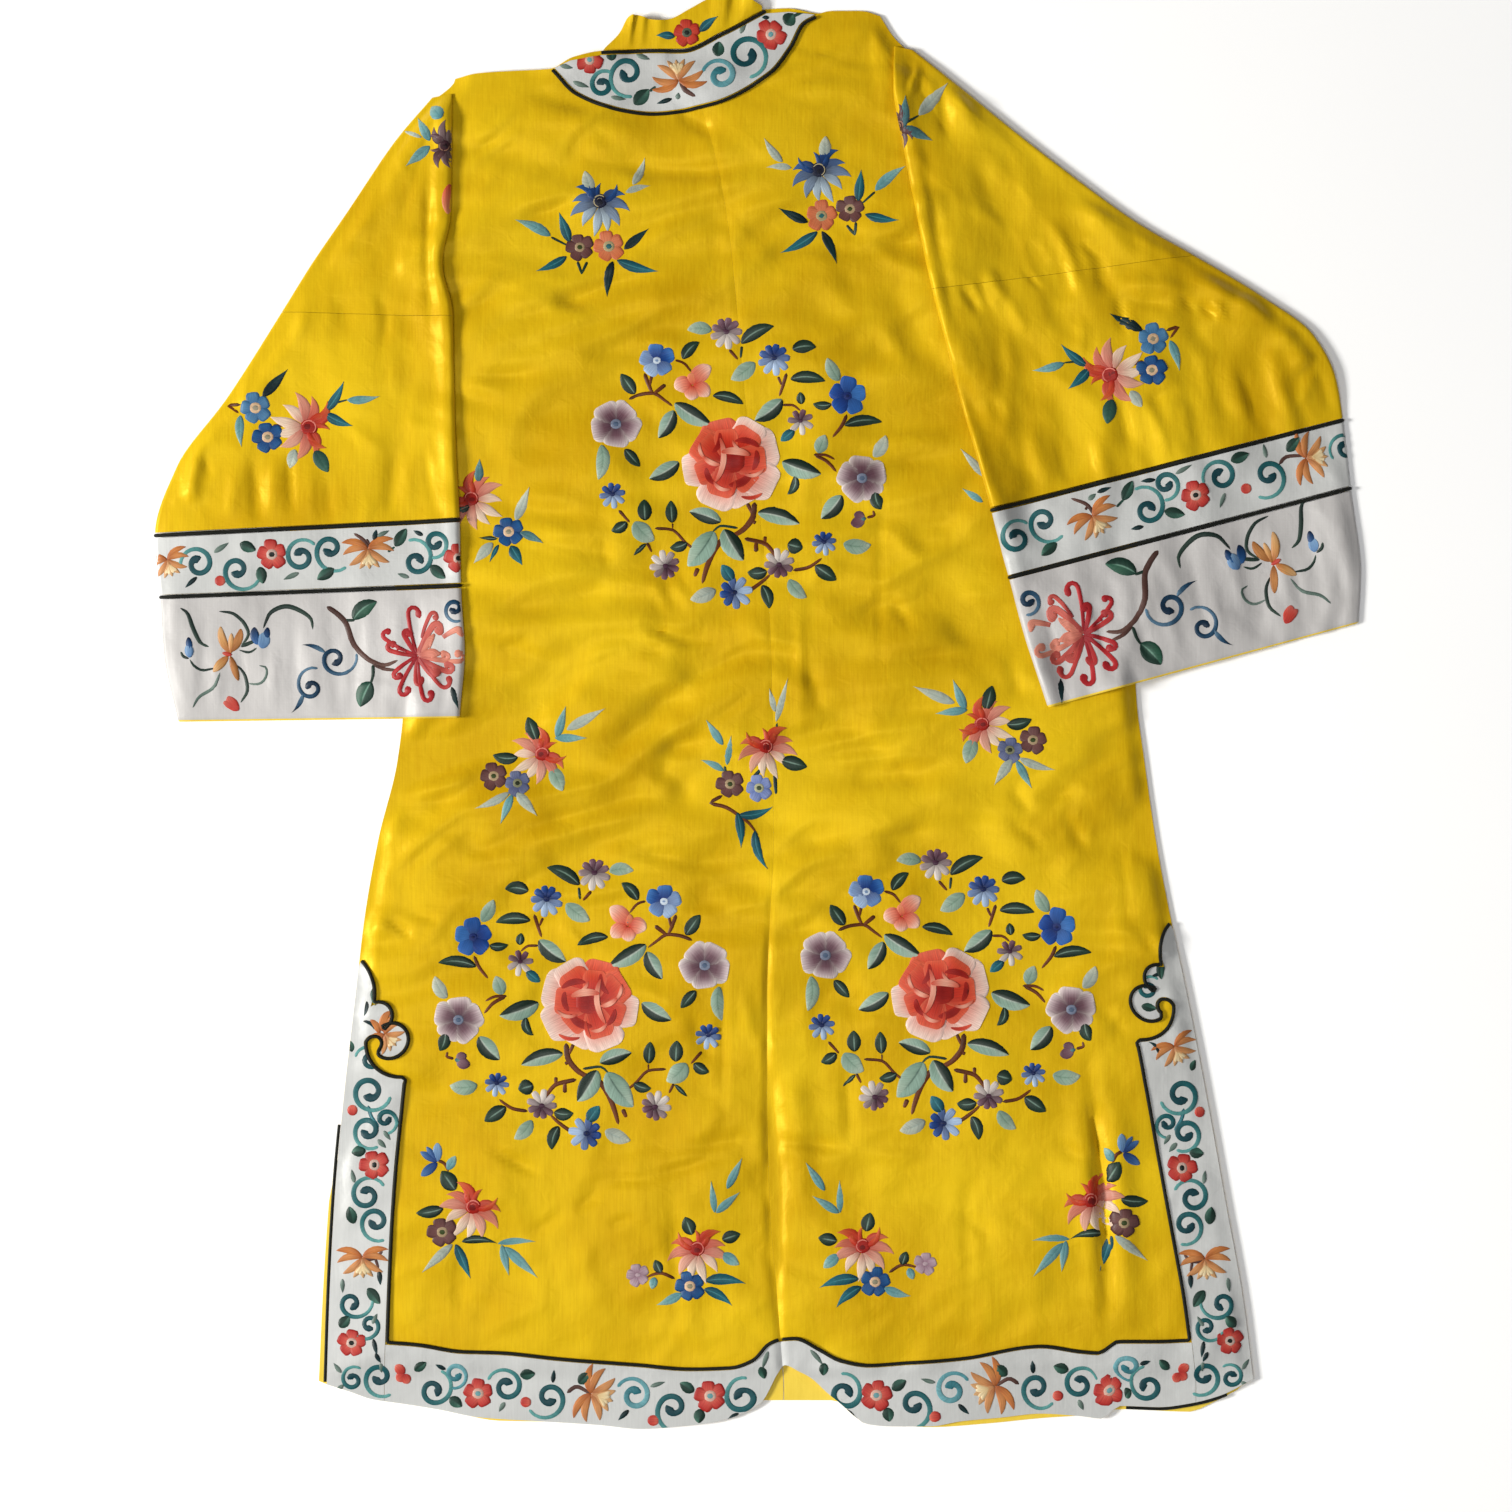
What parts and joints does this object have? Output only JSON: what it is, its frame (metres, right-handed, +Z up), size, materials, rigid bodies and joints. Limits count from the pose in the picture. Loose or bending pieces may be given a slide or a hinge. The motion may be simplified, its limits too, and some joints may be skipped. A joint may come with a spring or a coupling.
{
  "type": "chinese silk robe",
  "caption": "Embroidered silk robe laid flat face down, both sleeves folded in over the back, with a standing collar, scroll borders and side vents.",
  "frame": {"origin": "on the floor, under the middle of the robe as it lies", "axes": "+Y up the robe from the hem to the shoulders, +X to the right seen from above, +Z up from the floor out of the robe's back"},
  "size_m": [0.9407, 1.1159, 0.0148],
  "materials": {
    "yellow_satin": "silk satin, soft sheen",
    "white_satin": "silk satin, soft sheen",
    "black_satin": "corded satin piping"
  },
  "bodies": {
    "root": {"back_left": "yellow_satin", "back_right": "yellow_satin", "border_piping_left": "black_satin", "border_piping_right": "black_satin", "collar_back": "yellow_satin", "collar_front_left": "yellow_satin", "collar_front_right": "yellow_satin", "cuff_left": "white_satin", "cuff_right": "white_satin", "edge_piping_left": "black_satin", "edge_piping_right": "black_satin", "front_left": "yellow_satin", "front_right": "yellow_satin", "hem_border_left": "white_satin", "hem_border_right": "white_satin", "neck_border": "white_satin", "neck_piping_inner": "black_satin", "neck_piping_outer": "black_satin", "side_border_left": "white_satin", "side_border_right": "white_satin", "sleeve_band_left": "white_satin", "sleeve_band_right": "white_satin", "sleeve_extension_left": "yellow_satin", "sleeve_extension_right": "yellow_satin", "sleeve_left": "yellow_satin", "sleeve_piping_lower_left": "black_satin", "sleeve_piping_lower_right": "black_satin", "sleeve_piping_upper_left": "black_satin", "sleeve_piping_upper_right": "black_satin", "sleeve_right": "yellow_satin"}
  },
  "joints": []
}
